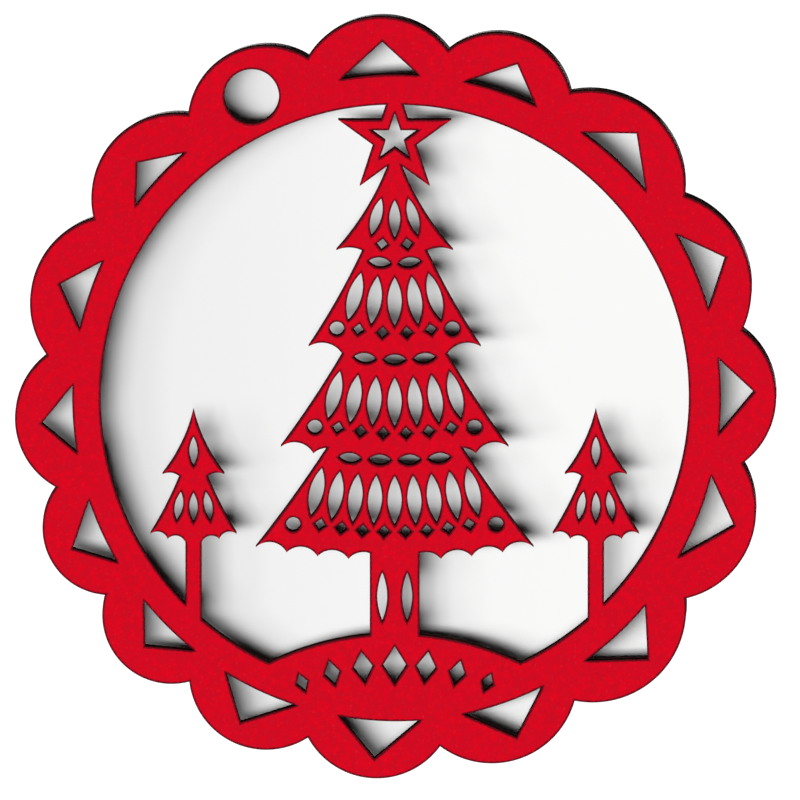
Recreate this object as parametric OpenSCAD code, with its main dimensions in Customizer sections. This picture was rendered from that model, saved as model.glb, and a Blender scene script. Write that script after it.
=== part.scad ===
// Flat round Christmas ornament, cut from one faced board: a scalloped rim, a window in each
// scallop but the one with the hanging hole, and fir trees standing in the round opening.
// Every cut goes straight through, so the core and both face sheets share one outline.
// X runs to the right and Z up as the ornament is looked at, and its front faces along -Y.
// The origin is the middle of the hanging hole.

/* [Board] */
// Thickness of the whole board, both face sheets included
board_t = 3; // [2:0.1:6]
// Thickness of each red face sheet
face_t = 0.2; // [0.1:0.05:0.4]

/* [Rim] */
// Radius of the round opening
opening_r = 30.7; // [28.5:0.1:36]
// How far the opening lies to the left of the rim's centre
opening_shift = 0.2; // [0:0.05:0.6]
// Width of the rim from the opening to the valleys between the scallops
rim_w = 6.05; // [5:0.05:7]
// Height of the scallops' crests over the valleys
scallop_h = 3.15; // [2.5:0.05:4]

/* [Windows] */
// Width of the solid band between the opening and the windows
band_w = 3.15; // [2.4:0.05:3.8]
// Height of a window, from its curved base line to its tip
window_h = 3.45; // [2.4:0.05:4]

/* [Hanging hole] */
// Diameter of the hanging hole
hole_d = 5.7; // [3:0.1:6.6]
// Width of the web between the hanging hole and the opening
hole_web = 1.35; // [0.9:0.05:1.8]

/* [Tree] */
// How far the tree's tip lies below the star's centre
tip_drop = 0.8; // [0.4:0.1:1.4]
// Height of the trunk between the lowest tier and the snow bank
trunk_h = 7.7; // [6:0.1:9.4]
// Width over the tips of the lowest tier
tree_w = 29; // [27:0.5:33]
// How far the sides of a tier curve in
side_sag = 0.7; // [0.3:0.05:0.9]
// How far the middle of a hem hangs below its ends
hem_droop = 1.4; // [1:0.1:1.8]
// Height of the arches along a hem
hem_rise = 0.8; // [0.5:0.05:1]
// Width of the trunk
trunk_w = 5.2; // [4.6:0.1:6.4]

/* [Piercings of the tree] */
// Length of a needle slot
needle_l = 5.2; // [4:0.1:5.6]
// Width of a needle slot at its middle
needle_w = 1.45; // [0.8:0.05:1.6]
// Length of a garland slot
garland_l = 2.4; // [1.6:0.1:2.6]
// Width of a garland slot at its middle
garland_w = 1.1; // [0.6:0.05:1.3]
// Distance from one garland slot to the next
garland_pitch = 3.1; // [2.9:0.05:3.3]
// Diameter of the round piercings near the tips
bauble_d = 1.5; // [0.8:0.05:1.7]
// Length of the small diamonds under the needle slots
diamond_l = 1.25; // [0.8:0.05:1.3]
// How far below the ends of the needle slots the diamonds lie
diamond_drop = 0.65; // [0.6:0.05:0.7]

/* [Star] */
// Radius over the points of the star
star_r = 6.2; // [5:0.1:7]
// How far the star's centre lies below the top of the opening
star_drop = 3.5; // [2.6:0.1:4]
// Width of the rim round the star's own cut-out
star_band = 1.1; // [0.9:0.05:1.3]

/* [Snow bank] */
// Height of the bank in the middle, above the bottom of the opening
bank_h = 6; // [5.5:0.1:6.6]
// Radius of the bank's back
bank_r = 30; // [26:0.5:34]
// Height of the tallest diamond in the bank
crystal_h = 4; // [2.4:0.1:4.4]
// Width of the widest diamond in the bank
crystal_w = 2.5; // [1.8:0.1:2.7]
// Distance from one diamond in the bank to the next
crystal_pitch = 3.3; // [3.1:0.05:3.4]
// How far below the bank's back the diamonds lie
crystal_drop = 3.3; // [3.2:0.1:3.6]

/* [Saplings] */
// Distance from the side of the opening to the middle of a sapling's trunk
sapling_inset = 9.7; // [9.3:0.1:10.4]
// How far a sapling's tip lies below the opening's centre
sapling_drop = 1.2; // [0.5:0.1:2]
// Height of a sapling's tiers together
sapling_h = 13; // [12.5:0.1:13.6]
// Width over the tips of a sapling's lower tier
sapling_w = 9; // [8.6:0.1:9.4]
// Width of a sapling's trunk
sapling_trunk_w = 1.7; // [1.2:0.1:2.2]

/* [Hidden] */
$fn = 96;
// Segments of the wide circles that the sides of the tiers follow
side_fn = 360;

red = [0.827, 0.024, 0.129];
charred = [0.09, 0.05, 0.035];

// Spare length by which one shape passes the edge of another that it cuts or joins
overrun = 0.5;

// Radii round the rim's centre: valleys and crests of the scallops, bases and tips of the windows
valley_r = opening_r + rim_w;
crest_r = valley_r + scallop_h;
window_base_r = opening_r + band_w;
window_tip_r = window_base_r + window_h;
// Distance from the opening's centre to the middle of the hanging hole
hole_r = opening_r + hole_web + hole_d / 2;
// Heights over the opening's centre, and the height of the tiers together, from the tree's tip
// to the lowest hem
bank_top = bank_h - opening_r;
star_z = opening_r - star_drop;
tree_top = star_z - tip_drop;
tiers_h = tree_top - hem_droop - trunk_h - bank_top;
// Distance from the opening's centre line to the middle of a sapling's trunk
sapling_x = opening_r - sapling_inset;

// Scallops, anticlockwise from the right: angle of the valley where one starts, and its crest's
// radius as a share of crest_r
SCALLOP_SHARES = [
    [11.1, 0.987], [35.1, 1], [60.4, 1], [81.6, 1], [104.6, 1], [126.3, 1], [149.3, 1], [173, 1],
    [194.7, 1], [214.1, 1], [233.9, 1], [255.4, 1], [277.1, 1], [300.4, 1], [325.2, 1],
    [349.3, 0.993]
];

// Windows: angle of the tip, angles of the base's two ends, and the tip's radius as a share of
// window_tip_r
WINDOW_SHARES = [
    [1, -6.3, 6.9, 1],
    [23.2, 16, 30.3, 1],
    [47.9, 39.9, 55.1, 1],
    [70.2, 64.7, 77.9, 0.995],
    [92.3, 86.1, 99.9, 1],
    [137.7, 130.7, 143.5, 0.98],
    [161.3, 155, 167.7, 0.995],
    [184.1, 177.8, 189.7, 0.995],
    [205, 198.5, 210.5, 1],
    [224.7, 218.9, 231.4, 0.99],
    [244.4, 238.2, 251.9, 1.01],
    [266.5, 259.8, 274.2, 1.015],
    [289.4, 281.9, 296.7, 1.01],
    [313.8, 305.7, 320, 1.015],
    [339.2, 330.6, 346, 1.01]
];
// Where the hanging hole lies, seen from the opening's centre
hole_angle = 115.3;

// Middle of the hanging hole, seen from the rim's centre
hole = polar(hole_r, hole_angle) - [opening_shift, 0];

// Tiers of the tree: top and hem as shares of the tiers' height, width as a share of the tree's
TIER_SHARES = [[0, 0.26, 0.42], [0.06, 0.5, 0.62], [0.26, 0.75, 0.82], [0.46, 1, 1]];
// Arches along the hem of each tier, and slots in the garland under it
HEM_ARCHES = [3, 5, 7, 9];
GARLAND_SLOTS = [2, 3, 4];
// One fan of needle slots in each tier, on an arc round the tree's tip: distance from the tip as
// a share of the tiers' height, number of slots, how far the outer ones lie from the middle as a
// share of the tier's half width, and the size of a slot as a share of needle_l and needle_w
FAN_SHARES = [
    [0.184, 3, 0.315, 0.78],
    [0.39, 5, 0.465, 1],
    [0.64, 7, 0.532, 1],
    [0.885, 9, 0.563, 1]
];
// Round piercings: tier, share of its half width, and share of its height above the hem
BAUBLE_SHARES = [[1, 0.67, 0.1], [2, 0.7, 0.1], [3, 0.73, 0.105]];

// Number of diamonds in the snow bank, and how much smaller than the middle one the last one is
crystals = 7;
crystal_loss_share = 0.5;

// Tiers of a sapling, as shares of its own height and width
SAPLING_SHARES = [[0, 0.52, 0.72], [0.2, 1, 1]];
SAPLING_ARCHES = [3, 5];
// Its fans round its tip: distance from the tip as a share of its height, number of slots, and
// how far the outer ones lie from the middle as a share of its half width
SAPLING_FAN_SHARES = [[0.34, 1, 0], [0.79, 3, 0.341]];
// Sags, arches and slots on a sapling, as a share of the same on the tree
sapling_share = 0.6;

function polar(r, a) = [r * cos(a), r * sin(a)];

// Radius of the circle whose arc rises by sag over a chord
function arc_r(chord, sag) = (chord * chord / 4 + sag * sag) / (2 * sag);

// A pointed oval along Y
module eye(l, w) {
    r = arc_r(l, w / 2);
    intersection() {
        translate([r - w / 2, 0]) circle(r = r);
        translate([w / 2 - r, 0]) circle(r = r);
    }
}

module diamond(h, w) {
    polygon([[-w / 2, 0], [0, -h / 2], [w / 2, 0], [0, h / 2]]);
}

module star(r) {
    inner = r * cos(72) / cos(36);
    polygon([for (k = [0 : 9]) polar(k % 2 == 0 ? r : inner, 90 + 36 * k)]);
}

// Places its children on an arc round a point at height top, count of them over twice half_angle
module spread(top, r, count, half_angle) {
    for (k = [0 : count - 1]) {
        a = count > 1 ? half_angle * (2 * k / (count - 1) - 1) : 0;
        translate([0, top]) rotate(a) translate([0, -r]) children();
    }
}

// One scallop: the circle through two valleys and the crest between them
module scallop(from, to, crest) {
    half = (to - from) / 2;
    sag = crest - valley_r * cos(half);
    r = arc_r(2 * valley_r * sin(half), sag);
    translate(polar(crest - r, from + half)) circle(r = r);
}

module rim() {
    count = len(SCALLOP_SHARES);
    difference() {
        union() {
            circle(r = (valley_r + opening_r) / 2);
            for (i = [0 : count - 1]) {
                row = SCALLOP_SHARES[i];
                to = i + 1 < count ? SCALLOP_SHARES[i + 1][0] : SCALLOP_SHARES[0][0] + 360;
                scallop(row[0], to, row[1] * crest_r);
            }
        }
        translate([-opening_shift, 0]) circle(r = opening_r);
    }
}

// A window: two straight sides that meet in a tip, over a base concentric with the rim
module window(row) {
    tip = polar(row[3] * window_tip_r, row[0]);
    ends = [for (a = [row[1], row[2]]) polar(window_base_r, a)];
    past = 1 + overrun / norm(ends[0] - tip);
    difference() {
        polygon([tip, tip + past * (ends[0] - tip), tip + past * (ends[1] - tip)]);
        circle(r = window_base_r);
    }
}

// Height of a drooping hem at x
function hem_at(hem, half, droop, x) = hem - droop * (1 - pow(x / half, 2));

// A tier: two sides that curve in from the tip, and a drooping hem of small arches
module tier(top, hem, half, arches, sag, droop, rise) {
    height = top - hem;
    side = norm([half, height]);
    side_r = arc_r(side, sag);
    out = [height, half] / side * (side_r - sag);
    foot = hem - droop - rise / 2;
    points = [for (k = [0 : arches])
        let (x = half * (2 * k / arches - 1)) [x, hem_at(hem, half, droop, x)]];
    difference() {
        translate([-half, foot]) square([2 * half, top - foot]);
        for (s = [-1, 1])
            translate([s * (half / 2 + out[0]), hem + height / 2 + out[1]])
                circle(r = side_r, $fn = side_fn);
        for (k = [0 : arches - 1]) {
            chord = points[k + 1] - points[k];
            r = arc_r(norm(chord), rise);
            down = [chord[1], -chord[0]] / norm(chord) * (r - rise);
            translate((points[k] + points[k + 1]) / 2 + down) circle(r = r);
        }
    }
}

function tier_top(i) = tree_top - TIER_SHARES[i][0] * tiers_h;
function tier_hem(i) = tree_top - TIER_SHARES[i][1] * tiers_h;
function tier_half(i) = TIER_SHARES[i][2] * tree_w / 2;

module tree() {
    for (i = [0 : len(TIER_SHARES) - 1])
        tier(tier_top(i), tier_hem(i), tier_half(i), HEM_ARCHES[i], side_sag, hem_droop, hem_rise);
    translate([-trunk_w / 2, -opening_r - overrun]) square([trunk_w, opening_r]);
    translate([0, star_z]) star(star_r);
}

// Slots that follow the hem of tier i, inside the tier below it
module garland(i) {
    count = GARLAND_SLOTS[i];
    half = tier_half(i);
    for (k = [0 : count - 1]) {
        x = garland_pitch * (k - (count - 1) / 2);
        slope = atan(2 * hem_droop * x / (half * half));
        translate([x, hem_at(tier_hem(i), half, hem_droop, x)]) rotate(90 + slope)
            eye(garland_l, garland_w);
    }
}

module tree_piercings() {
    for (i = [0 : len(FAN_SHARES) - 1]) {
        row = FAN_SHARES[i];
        r = row[0] * tiers_h;
        slots = row[1];
        half_angle = asin(row[2] * tier_half(i) / r);
        below = r + row[3] * needle_l / 2 + diamond_drop;
        spread(tree_top, r, slots, half_angle) eye(row[3] * needle_l, row[3] * needle_w);
        spread(tree_top, below, slots - 1, half_angle * (slots - 2) / (slots - 1))
            diamond(diamond_l, diamond_l);
    }
    for (i = [0 : len(GARLAND_SLOTS) - 1]) garland(i);
    for (row = BAUBLE_SHARES, s = [-1, 1]) {
        i = row[0];
        translate([s * row[1] * tier_half(i),
                   tier_hem(i) + row[2] * (tier_top(i) - tier_hem(i))])
            circle(d = bauble_d);
    }
    for (s = [-1, 1])
        translate([s * trunk_w / 4, bank_top + trunk_h / 2]) eye(needle_l, trunk_w / 5);
    translate([0, star_z]) star(star_r - star_band / sin(18));
}

module snow_bank() {
    intersection() {
        circle(r = opening_r + overrun);
        translate([0, bank_top - bank_r]) circle(r = bank_r);
    }
}

// Diamonds in a row under the bank's back, smaller towards its ends
module crystal_row() {
    r = bank_r - crystal_drop;
    middle = (crystals - 1) / 2;
    for (k = [-middle : middle]) {
        share = 1 - crystal_loss_share * abs(k) / middle;
        a = 2 * asin(crystal_pitch / (2 * r)) * k;
        translate([0, bank_top - bank_r]) rotate(a) translate([0, r])
            diamond(share * crystal_h, share * crystal_w);
    }
}

module sapling() {
    foot = -sqrt(pow(opening_r, 2) - pow(sapling_x - sapling_trunk_w, 2));
    low = -sapling_drop - sapling_h;
    difference() {
        union() {
            for (i = [0 : len(SAPLING_SHARES) - 1])
                let (row = SAPLING_SHARES[i])
                    tier(-sapling_drop - row[0] * sapling_h, -sapling_drop - row[1] * sapling_h,
                         row[2] * sapling_w / 2, SAPLING_ARCHES[i], sapling_share * side_sag,
                         sapling_share * hem_droop, sapling_share * hem_rise);
            translate([-sapling_trunk_w / 2, foot]) square([sapling_trunk_w, low - foot]);
        }
        for (row = SAPLING_FAN_SHARES) {
            r = row[0] * sapling_h;
            spread(-sapling_drop, r, row[1], asin(row[2] * sapling_w / 2 / r))
                eye(sapling_share * needle_l, sapling_share * needle_w);
        }
    }
}

// The whole outline, in the plane of the board, with the rim's centre as its origin
module outline() {
    difference() {
        union() {
            rim();
            translate([-opening_shift, 0]) {
                tree();
                snow_bank();
                for (s = [-1, 1]) translate([s * sapling_x, 0]) sapling();
            }
        }
        for (row = WINDOW_SHARES) window(row);
        translate(hole) circle(d = hole_d);
        translate([-opening_shift, 0]) {
            tree_piercings();
            crystal_row();
        }
    }
}

// A layer of the board, t thick, with its front at depth behind the front of the ornament
module layer(depth, t) {
    translate([-hole[0], depth + t - board_t / 2, -hole[1]])
        rotate([90, 0, 0])
            linear_extrude(height = t) outline();
}

module front_face_sheet() {
    color(red) layer(0, face_t);
}

module core_board() {
    color(charred) layer(face_t, board_t - 2 * face_t);
}

module back_face_sheet() {
    color(red) layer(board_t - face_t, face_t);
}

front_face_sheet();
core_board();
back_face_sheet();
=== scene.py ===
"""Looks of a flat round Christmas ornament, cut by a beam from a red-faced board.

The board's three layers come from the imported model. Each is rebuilt here from its own outlines, with
the softened, scorched edge that the beam leaves, and gets a material made of nodes.
Lengths are in metres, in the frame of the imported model: X to the right, Z up, front along -Y.
"""

import math

import bpy
import numpy as np
from mathutils import Matrix, Vector
from mathutils.geometry import delaunay_2d_cdt
from mathutils.kdtree import KDTree


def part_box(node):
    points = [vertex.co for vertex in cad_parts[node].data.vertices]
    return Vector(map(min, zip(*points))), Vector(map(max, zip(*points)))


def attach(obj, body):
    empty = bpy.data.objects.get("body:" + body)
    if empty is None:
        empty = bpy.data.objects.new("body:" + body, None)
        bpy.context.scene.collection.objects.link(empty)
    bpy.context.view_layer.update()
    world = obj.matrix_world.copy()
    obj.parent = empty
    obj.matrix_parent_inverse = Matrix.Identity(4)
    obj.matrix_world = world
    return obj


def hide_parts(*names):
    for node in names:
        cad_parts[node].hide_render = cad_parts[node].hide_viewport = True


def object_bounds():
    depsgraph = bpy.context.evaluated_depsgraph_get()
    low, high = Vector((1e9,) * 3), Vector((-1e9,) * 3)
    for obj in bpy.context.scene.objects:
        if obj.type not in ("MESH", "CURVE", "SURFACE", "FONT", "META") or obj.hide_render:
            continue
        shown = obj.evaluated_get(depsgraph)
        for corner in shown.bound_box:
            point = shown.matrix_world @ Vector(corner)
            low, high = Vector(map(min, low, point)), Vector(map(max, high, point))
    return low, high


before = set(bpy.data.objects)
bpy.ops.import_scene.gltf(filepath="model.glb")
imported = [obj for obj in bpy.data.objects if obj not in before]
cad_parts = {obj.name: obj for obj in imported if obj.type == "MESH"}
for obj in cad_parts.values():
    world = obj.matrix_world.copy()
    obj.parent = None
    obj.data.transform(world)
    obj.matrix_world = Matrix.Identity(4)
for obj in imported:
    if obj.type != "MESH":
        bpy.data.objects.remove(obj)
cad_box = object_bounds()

MM = 0.001

# Outlines: the longest step along them, the turn from which a point is a corner, and the distance
# under which two points are one
STEP = 0.28 * MM
CORNER_TURN = math.radians(35)
WELD = 0.0002 * MM
# The least length that a vector is divided by
SHORTEST = 1e-12
# Output of the triangulation: triangles inside the outlines, with the holes left open
INSIDE_WITH_HOLES = 2

# Softened edge of a red coating: its radius and the number of its rings, and how far the scorch of
# the beam reaches from the edge onto the face
EDGE_ROUND = 0.09 * MM
ROUND_RINGS = 4
SCORCH_REACH = 0.3 * MM
# Limits on the rings: the share of the room beside an edge that they may take, the step at which
# the room is measured, the longest mitre at a corner, and how near to its neighbours the ring comes
# at a corner that sticks out
ROOM_SHARE = 0.8
ROOM_STEP = 0.04 * MM
LONGEST_MITRE = 1.6
TIP_SHARE = 0.7
# Rings of the core's wall
WALL_RINGS = 4

# Colours of the coating
DEEP_RED = (0.46, 0.0013, 0.0105)
BRIGHT_RED = (0.56, 0.0009, 0.0098)
PLAIN_RED = (0.48, 0.0013, 0.011)
DULL_RED = (0.42, 0.0022, 0.012)
PALE_RED = (0.6, 0.014, 0.032)
SCORCHED_RED = (0.14, 0.002, 0.008)
CHARRED_RED = (0.08, 0.002, 0.006)
# Features of the coating: the width of its mottle, patches, brushed lines and grain, how many times
# longer than wide the lines are, and the height of its relief, with the share of the lines in it
MOTTLE = 0.8 * MM
PATCHES = 5 * MM
LINES = 0.25 * MM
GRAIN = 0.3 * MM
LINE_STRETCH = 14
LINE_RELIEF = 0.7
COATING_RELIEF = 0.006 * MM
# Scorch, from 0 to 1 at the cut: where each tone begins and is full, and how far both wander
SCORCHED = (0.1, 0.5)
CHARRED = (0.62, 0.92)
WANDER = 0.16

# Colours of the burnt walls
SOOT = (0.008, 0.0035, 0.003)
BROWN_CHAR = (0.03, 0.011, 0.008)
TAN_CHAR = (0.06, 0.028, 0.018)
# Features of the walls: the width of the beam's marks, which run through the board, and how many
# times longer they are, the width and stretch of the fibres, and the height of the relief
BEAM_MARKS = 0.16 * MM
MARK_STRETCH = 16
FIBRES = 0.5 * MM
FIBRE_STRETCH = 0.5
WALL_RELIEF = 0.03 * MM

# Camera: its distance, how far above the front it stands, the point it is aimed at beside the
# middle, the width of its view there, and the nearest and farthest that it sees
CAMERA_DISTANCE = 3.7
CAMERA_ELEVATION = math.radians(4.5)
AIM = Vector((0.46 * MM, 0, -0.31 * MM))
VIEW_WIDTH = 83.5 * MM
SENSOR = 36.0
NEAREST = 0.1
FARTHEST = 20.0

# Paper behind the ornament: how far behind, and the size and shift of its outline against the one
# that the ornament hides, so that a hair of shadow shows along the upper edges
PAPER_GAP = 550 * MM
PAPER_SIZE = 0.996
PAPER_SHIFT = Vector((0.2 * MM, 0, 0.53 * MM))
# Its tones, with painted shade: where the painted grey ends on the left and the white is full on the
# right
PAPER_SHADE_GREY = (0.86, 0.86, 0.86)
PAPER_WHITE = (0.94, 0.94, 0.935)
PAPER_SHADE_FADE = (-20 * MM, 40 * MM)

# Lamps to the left of the camera, a little under it: width, height and strength of each, and the drop
# to their upper edge
LAMPS = [(17 * MM, 7 * MM, 0.49), (27 * MM, 7 * MM, 0.54), (56 * MM, 11 * MM, 0.3)]
LAMP_DROP = 1.4 * MM
# Light from all round: its strength in front and behind, the directions along Y where it begins to
# grow and is full, and the strength of the white that the camera sees as the background
FRONT_LIGHT = 0.003
BACK_LIGHT = 1.2
LIGHT_GROWS = -0.06
LIGHT_FULL = 0.0
BACKGROUND = 1.2
WHITE = (1, 1, 1, 1)


def unit(vectors):
    """The vectors at length 1."""
    lengths = np.linalg.norm(vectors, axis=1, keepdims=True)
    return vectors / np.maximum(lengths, SHORTEST)


def signed_area(points):
    """Area inside an outline, positive if it runs anticlockwise as seen from the front."""
    after = np.roll(points, -1, axis=0)
    return 0.5 * float(np.sum(points[:, 0] * after[:, 1] - after[:, 0] * points[:, 1]))


def flat_face_edges(mesh, depth):
    """The edges round the mesh's flat face at a depth, as {from: to}, and the place of each end."""
    places = {}
    edges = set()
    for face in mesh.polygons:
        corners = [mesh.vertices[i].co for i in face.vertices]
        if any(abs(co.y - depth) > WELD for co in corners):
            continue
        keys = [(round(co.x / WELD), round(co.z / WELD)) for co in corners]
        places.update(zip(keys, [(co.x, co.z) for co in corners]))
        edges.update(zip(keys, keys[1:] + keys[:1]))
    return {a: b for a, b in edges if a != b and (b, a) not in edges}, places


def outlines_of(node):
    """Closed outlines of the front of a CAD node, as arrays of (x, z), with the solid on their left."""
    low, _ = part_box(node)
    following, places = flat_face_edges(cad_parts[node].data, low.y)
    loops = []
    while following:
        key = min(following)
        loop = []
        while key in following:
            loop.append(places[key])
            key = following.pop(key)
        if len(loop) > 2:
            loops.append(np.array(loop))
    loops.sort(key=lambda loop: -abs(signed_area(loop)))
    if signed_area(loops[0]) < 0:
        loops = [loop[::-1] for loop in loops]
    return loops


def turns_of(points):
    """Signed turn at each point, and the length of the side that follows it."""
    sides = np.roll(points, -1, axis=0) - points
    before = np.roll(sides, 1, axis=0)
    cross = before[:, 0] * sides[:, 1] - before[:, 1] * sides[:, 0]
    return np.arctan2(cross, np.sum(before * sides, axis=1)), np.linalg.norm(sides, axis=1)


def in_steps(start, side, step):
    """Shares of a side at equal steps, and the places there."""
    count = math.ceil(np.linalg.norm(side) / step)
    shares = np.arange(count)[:, None] / count
    return shares, start + shares * side


def refined(points):
    """The outline in steps of at most STEP, bowed out to the arcs that its points lie on."""
    turns, lengths = turns_of(points)
    smooth = np.abs(turns) < CORNER_TURN
    pieces = []
    for i, length in enumerate(lengths):
        j = (i + 1) % len(points)
        # The angle between the side and its arc, as each end that isn't a corner gives it
        angles = []
        if smooth[i]:
            angles.append(turns[i] * length / (length + lengths[i - 1]))
        if smooth[j]:
            angles.append(turns[j] * length / (length + lengths[j]))
        rise = length / 2 * math.tan(sum(angles) / len(angles) / 2) if angles else 0.0
        side = points[j] - points[i]
        outward = np.array([side[1], -side[0]]) / length
        shares, places = in_steps(points[i], side, STEP)
        pieces.append(places + 4 * shares * (1 - shares) * rise * outward)
    return np.concatenate(pieces)


class Outline:
    """A closed outline, ready for rings: its points, its wall's normals and the way inwards."""

    def __init__(self, points):
        self.points = refined(points)
        turns, lengths = turns_of(self.points)
        sides = np.roll(self.points, -1, axis=0) - self.points
        after = unit(np.stack([sides[:, 1], -sides[:, 0]], axis=1))
        before = np.roll(after, 1, axis=0)
        middle = unit(after + before)
        corner = (np.abs(turns) > CORNER_TURN)[:, None]
        self.normals_before = np.where(corner, before, middle)
        self.normals_after = np.where(corner, after, middle)
        self.inward = -middle
        self.tips = np.flatnonzero(turns > CORNER_TURN)
        mitre = 1 / np.maximum(np.sum(middle * after, axis=1), 1 / LONGEST_MITRE)
        self.full_step = SCORCH_REACH * mitre
        self.widest_step = self.full_step.copy()

    def limit(self, edges):
        """Keeps the rings within the largest circles inside the solid that touch the edge."""
        for i, (point, inward) in enumerate(zip(self.points, self.inward)):
            found = edges.find_range((*point, 0.0), 2 * SCORCH_REACH / ROOM_SHARE)
            way = np.array([place[:2] for place, _, _ in found]) - point
            ahead = way @ inward
            near = ahead > WELD
            if near.any():
                room = np.min(np.sum(way[near] ** 2, axis=1) / (2 * ahead[near]))
                self.widest_step[i] = min(self.widest_step[i], ROOM_SHARE * room)
        for i in self.tips:
            beside = [(i - 1) % len(self.points), (i + 1) % len(self.points)]
            ends = self.points[beside] + self.inward[beside] * self.widest_step[beside, None]
            free = np.min((ends - self.points[i]) @ self.inward[i])
            self.widest_step[i] = min(self.full_step[i], TIP_SHARE * free)

    def ring(self, inset):
        """The ring at an inset, which is less where the room is short."""
        return self.points + self.inward * self.widest_step[:, None] * inset / SCORCH_REACH


class Layer:
    """Collects rings and caps from back to front, and makes them one closed mesh."""

    def __init__(self):
        self.points, self.scorch = [], []
        self.faces, self.normals = [], []

    def add_ring(self, ring, depth, scorch):
        """Adds a ring's points at a depth, and returns the index of the first."""
        first = len(self.points)
        self.points.extend((x, depth, z) for x, z in ring)
        self.scorch.extend([scorch] * len(ring))
        return first

    def join(self, outline, back, front):
        """Quads between two rings, each (first index, how far its normals lean out, and along Y)."""
        count = len(outline.points)
        for i in range(count):
            j = (i + 1) % count
            self.faces.append((back[0] + i, back[0] + j, front[0] + j, front[0] + i))
            start, end = outline.normals_after[i], outline.normals_before[j]
            for (x, z), (_, out, along) in ((start, back), (end, back), (end, front), (start, front)):
                self.normals.append((x * out, along, z * out))

    def cap(self, rings, depth, toward):
        """Triangles inside the given rings, each (first index, points), that face along -Y or Y."""
        places, owners, loops = [], [], []
        for first, ring in rings:
            loops.append(list(range(len(places), len(places) + len(ring))))
            places.extend(Vector(point / MM) for point in ring)
            owners.extend(range(first, first + len(ring)))
        found, _, triangles, origins, _, _ = delaunay_2d_cdt(
            places, [], loops, INSIDE_WITH_HOLES, WELD / MM)
        index = []
        for place, origin in zip(found, origins):
            if origin:
                index.append(owners[origin[0]])
            else:
                index.append(self.add_ring([place * MM], depth, 0.0))
        for triangle in triangles:
            corners = [index[i] for i in triangle]
            self.faces.append(corners if toward < 0 else corners[::-1])
            self.normals.extend([(0.0, toward, 0.0)] * 3)

    def make(self, name, material):
        """The mesh as an object, with its own normals and the scorch as an attribute."""
        mesh = bpy.data.meshes.new(name)
        mesh.from_pydata(self.points, [], self.faces)
        mesh.polygons.foreach_set("use_smooth", [True] * len(self.faces))
        mesh.attributes.new("scorch", "FLOAT", "POINT").data.foreach_set("value", self.scorch)
        mesh.normals_split_custom_set(self.normals)
        mesh.materials.append(material)
        made = bpy.data.objects.new(name, mesh)
        bpy.context.scene.collection.objects.link(made)
        return made


def limited_outlines(node):
    """The outlines of a node's front, with their rings kept clear of each other."""
    made = [Outline(points) for points in outlines_of(node)]
    places = []
    for outline in made:
        sides = np.roll(outline.points, -1, axis=0) - outline.points
        for point, side in zip(outline.points, sides):
            places.extend(in_steps(point, side, ROOM_STEP)[1])
    edges = KDTree(len(places))
    for i, (x, z) in enumerate(places):
        edges.insert((x, z, 0.0), i)
    edges.balance()
    for outline in made:
        outline.limit(edges)
    return made


def build_layer(name, node, outlines, profile, material):
    """A closed layer whose wall follows a profile, from back to front, round all outlines.

    A row of the profile is the inset, the depth, and the share by which the normals lean outward
    and along Y there.
    """
    layer = Layer()
    back_rings, front_rings = [], []
    for outline in outlines:
        made = []
        for inset, depth, out, along in profile:
            ring = outline.ring(inset)
            first = layer.add_ring(ring, depth, 1 - inset / SCORCH_REACH)
            made.append((first, out, along, ring))
        for back, front in zip(made, made[1:]):
            layer.join(outline, back[:3], front[:3])
        back_rings.append((made[0][0], made[0][3]))
        front_rings.append((made[-1][0], made[-1][3]))
    layer.cap(back_rings, profile[0][1], 1.0)
    layer.cap(front_rings, profile[-1][1], -1.0)
    piece = layer.make(name, material)
    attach(piece, "root")
    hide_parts(node)
    return piece


def coating_profile(foot, face):
    """The wall, the softened edge and the scorched margin of a coating, from its foot to its face."""
    toward = 1 if face > foot else -1
    profile = [(0.0, foot, 1.0, 0.0)]
    for k in range(ROUND_RINGS):
        tilt = math.pi / 2 * k / (ROUND_RINGS - 1)
        inset = EDGE_ROUND * (1 - math.cos(tilt))
        drop = EDGE_ROUND * (1 - math.sin(tilt))
        profile.append((inset, face - toward * drop, math.cos(tilt), toward * math.sin(tilt)))
    profile.append((SCORCH_REACH, face, 0.0, toward))
    return profile


def wall_profile(back, front):
    """The straight wall of the core."""
    depths = np.linspace(back, front, WALL_RINGS)
    return [(0.0, float(depth), 1.0, 0.0) for depth in depths]


def new_material(name):
    """A material, a function that adds a node to it, and one that sets its shader's inputs."""
    material = bpy.data.materials.new(name)
    material.use_nodes = True
    tree = material.node_tree

    def add(kind, inputs=(), **settings):
        node = tree.nodes.new(kind)
        for key, value in settings.items():
            setattr(node, key, value)
        fill(node, inputs)
        return node

    def fill(node, inputs):
        for key, value in dict(inputs).items():
            if isinstance(value, bpy.types.NodeSocket):
                tree.links.new(value, node.inputs[key])
            else:
                node.inputs[key].default_value = value

    shader = tree.nodes["Principled BSDF"]
    return material, add, lambda inputs: fill(shader, inputs)


def noise(add, place, size, detail, stretch=(1, 1, 1)):
    """Noise from 0 to 1 whose features are about size wide, stretched along the axes given."""
    scaled = add("ShaderNodeMapping", {"Vector": place, "Scale": [1 / s for s in stretch]})
    made = add("ShaderNodeTexNoise",
               {"Vector": scaled.outputs[0], "Scale": 1 / size, "Detail": detail})
    return made.outputs["Fac"]


def ranged(add, value, low, high, to_low=0.0, to_high=1.0):
    """The value mapped from one range to another, smoothly, and held at its ends."""
    made = add("ShaderNodeMapRange", {"Value": value, "From Min": low, "From Max": high,
                                      "To Min": to_low, "To Max": to_high},
               interpolation_type="SMOOTHSTEP")
    return made.outputs["Result"]


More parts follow.
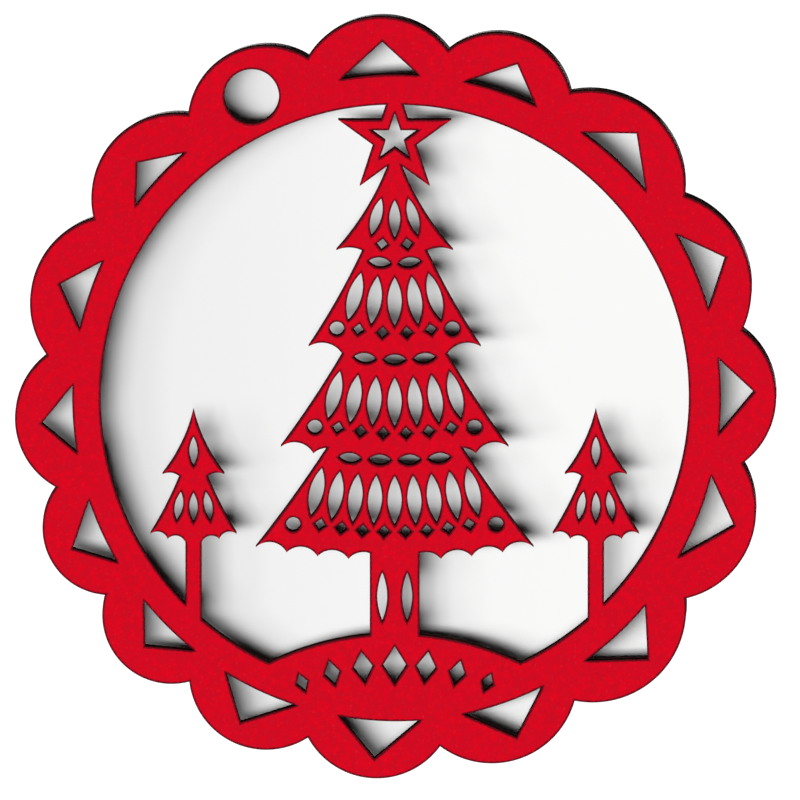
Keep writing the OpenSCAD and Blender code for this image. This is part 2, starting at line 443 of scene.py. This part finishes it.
def mixed(add, share, first, second):
    """A mix of two colours, each a socket or three numbers."""
    # A Mix node has its colours in sockets 6 and 7, and the mixed one in socket 2
    colours = {}
    for key, colour in ((6, first), (7, second)):
        colours[key] = colour if isinstance(colour, bpy.types.NodeSocket) else (*colour, 1.0)
    made = add("ShaderNodeMix", {"Factor": share, **colours}, data_type="RGBA")
    return made.outputs[2]


def calculated(add, kind, first, second):
    """What a calculation gives for two numbers or sockets."""
    return add("ShaderNodeMath", {0: first, 1: second}, operation=kind).outputs[0]


def bumped(add, height, distance):
    """The normal of a surface whose height, from 0 to 1, is worth a distance."""
    made = add("ShaderNodeBump", {"Height": height, "Distance": distance})
    return made.outputs["Normal"]


def red_coating():
    """Matte red coating: soft mottle, faint brushed lines, and a burnt line along the cut edges."""
    material, add, shade = new_material("red_coating")
    place = add("ShaderNodeTexCoord").outputs["Object"]
    mottle = noise(add, place, MOTTLE, detail=3.0)
    patches = noise(add, place, PATCHES, detail=1.0)
    lines = noise(add, place, LINES, detail=2.0, stretch=(LINE_STRETCH, 1, 1))
    grain = noise(add, place, GRAIN, detail=2.0)

    colour = mixed(add, ranged(add, mottle, 0.38, 0.68), DEEP_RED, BRIGHT_RED)
    colour = mixed(add, ranged(add, patches, 0.35, 0.7, to_high=0.4), colour, PLAIN_RED)
    colour = mixed(add, ranged(add, lines, 0.5, 0.8, to_high=0.3), colour, DULL_RED)
    colour = mixed(add, ranged(add, grain, 0.58, 0.78, to_high=0.6), colour, PALE_RED)

    scorch = add("ShaderNodeAttribute", attribute_name="scorch").outputs["Fac"]
    wander = ranged(add, grain, 0.3, 0.7, to_low=-WANDER, to_high=WANDER)
    burnt = calculated(add, "ADD", scorch, wander)
    colour = mixed(add, ranged(add, burnt, *SCORCHED), colour, SCORCHED_RED)
    colour = mixed(add, ranged(add, burnt, *CHARRED), colour, CHARRED_RED)

    relief = calculated(add, "ADD", grain, calculated(add, "MULTIPLY", lines, LINE_RELIEF))
    shade({
        "Base Color": colour,
        "Roughness": ranged(add, mottle, 0.3, 0.7, to_low=0.68, to_high=0.8),
        "Specular IOR Level": 0.02,
        "Normal": bumped(add, relief, COATING_RELIEF),
    })
    return material


def charred_core():
    """Wood-fibre board, burnt nearly black where it was cut, with fine marks of the beam."""
    material, add, shade = new_material("charred_core")
    place = add("ShaderNodeTexCoord").outputs["Object"]
    marks = noise(add, place, BEAM_MARKS, detail=3.0, stretch=(1, MARK_STRETCH, 1))
    fibres = noise(add, place, FIBRES, detail=4.0, stretch=(1, FIBRE_STRETCH, 1))
    colour = mixed(add, ranged(add, marks, 0.35, 0.7), SOOT, BROWN_CHAR)
    colour = mixed(add, ranged(add, fibres, 0.52, 0.78, to_high=0.55), colour, TAN_CHAR)
    shade({
        "Base Color": colour,
        "Roughness": 0.9,
        "Specular IOR Level": 0.0,
        "Normal": bumped(add, calculated(add, "ADD", marks, fibres), WALL_RELIEF),
    })
    return material


def paper_with_painted_shade():
    """Matte white paper, with painted shade that makes it greyer towards its left."""
    material, add, shade = new_material("paper_with_painted_shade")
    place = add("ShaderNodeTexCoord").outputs["Object"]
    across = add("ShaderNodeSeparateXYZ", {"Vector": place}).outputs["X"]
    shade({
        # Painted shade: the paper's colour goes from grey on the left to white on the right
        "Base Color": mixed(add, ranged(add, across, *PAPER_SHADE_FADE), PAPER_SHADE_GREY, PAPER_WHITE),
        "Roughness": 0.9,
        "Specular IOR Level": 0.0,
    })
    return material


def beside_camera(centre, aside=0.0, up=0.0):
    """Where something stands at the camera or beside it, and looks at the same point."""
    straight = Vector((0, -math.cos(CAMERA_ELEVATION), math.sin(CAMERA_ELEVATION)))
    turn = straight.to_track_quat("Z", "Y").to_matrix()
    place = turn @ Vector((aside, up, CAMERA_DISTANCE))
    facing = place.to_track_quat("Z", "Y").to_matrix().to_4x4()
    return Matrix.Translation(centre + AIM + place) @ facing


def add_paper(centre):
    """A free-standing sheet that fills what the camera sees through the ornament."""
    low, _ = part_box("front_face_sheet")
    eye = beside_camera(centre).translation
    middle = Vector((centre.x, low.y, centre.z))
    depth = centre.y + PAPER_GAP
    corners = []
    for x, z in outlines_of("front_face_sheet")[0]:
        edge = middle + (Vector((x, low.y, z)) - middle) * PAPER_SIZE + PAPER_SHIFT
        way = edge - eye
        corners.append(eye + way * (depth - eye.y) / way.y)
    mesh = bpy.data.meshes.new("paper")
    mesh.from_pydata(corners, [], [tuple(range(len(corners)))])
    mesh.materials.append(paper_with_painted_shade())
    made = bpy.data.objects.new("paper", mesh)
    bpy.context.scene.collection.objects.link(made)


def add_camera(centre):
    """A camera with a long lens, nearly straight in front, as a scanner looks."""
    camera = bpy.data.cameras.new("camera")
    camera.sensor_width = SENSOR
    camera.lens = SENSOR * CAMERA_DISTANCE / VIEW_WIDTH
    camera.clip_start = NEAREST
    camera.clip_end = FARTHEST
    made = bpy.data.objects.new("camera", camera)
    made.matrix_world = beside_camera(centre)
    bpy.context.scene.collection.objects.link(made)
    bpy.context.scene.camera = made


def add_lamps(centre):
    """A row of soft lamps beside the camera, so that shadows fall a little to the right and up."""
    for i, (width, height, strength) in enumerate(LAMPS):
        lamp = bpy.data.lights.new(f"lamp_{i}", "AREA")
        lamp.shape = "RECTANGLE"
        lamp.size = width
        lamp.size_y = height
        # The power that gives a white card this share of full white
        lamp.energy = strength * (math.pi * CAMERA_DISTANCE) ** 2
        made = bpy.data.objects.new(f"lamp_{i}", lamp)
        made.matrix_world = beside_camera(centre, -width / 2, -LAMP_DROP - height / 2)
        made.visible_camera = False
        bpy.context.scene.collection.objects.link(made)


def add_world():
    """Soft light from all round, much brighter from behind, and a plain white background."""
    world = bpy.data.worlds.new("studio")
    world.use_nodes = True
    tree = world.node_tree

    parts = tree.nodes.new("ShaderNodeSeparateXYZ")
    tree.links.new(tree.nodes.new("ShaderNodeTexCoord").outputs["Generated"], parts.inputs["Vector"])
    light = tree.nodes.new("ShaderNodeMapRange")
    light.interpolation_type = "SMOOTHSTEP"
    for key, number in (("From Min", LIGHT_GROWS), ("From Max", LIGHT_FULL),
                        ("To Min", FRONT_LIGHT), ("To Max", BACK_LIGHT)):
        light.inputs[key].default_value = number
    tree.links.new(parts.outputs["Y"], light.inputs["Value"])

    # What the camera sees itself is the background. A Mix node has its numbers in sockets 2 and 3.
    seen = tree.nodes.new("ShaderNodeMix")
    tree.links.new(tree.nodes.new("ShaderNodeLightPath").outputs["Is Camera Ray"],
                   seen.inputs["Factor"])
    tree.links.new(light.outputs["Result"], seen.inputs[2])
    seen.inputs[3].default_value = BACKGROUND
    tree.links.new(seen.outputs["Result"], tree.nodes["Background"].inputs["Strength"])
    tree.nodes["Background"].inputs["Color"].default_value = WHITE
    bpy.context.scene.world = world


def build_ornament():
    """The three layers, which all follow the outlines of the front one."""
    outlines = limited_outlines("front_face_sheet")
    red = red_coating()

    low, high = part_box("front_face_sheet")
    profile = coating_profile(high.y, low.y)
    front = build_layer("front_coating", "front_face_sheet", outlines, profile, red)

    low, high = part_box("core_board")
    profile = wall_profile(high.y, low.y)
    core = build_layer("board", "core_board", outlines, profile, charred_core())

    low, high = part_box("back_face_sheet")
    profile = coating_profile(low.y, high.y)[::-1]
    back = build_layer("back_coating", "back_face_sheet", outlines, profile, red)


build_ornament()
centre = (cad_box[0] + cad_box[1]) / 2
add_paper(centre)
add_camera(centre)
add_lamps(centre)
add_world()
bpy.context.scene.view_settings.view_transform = "Standard"
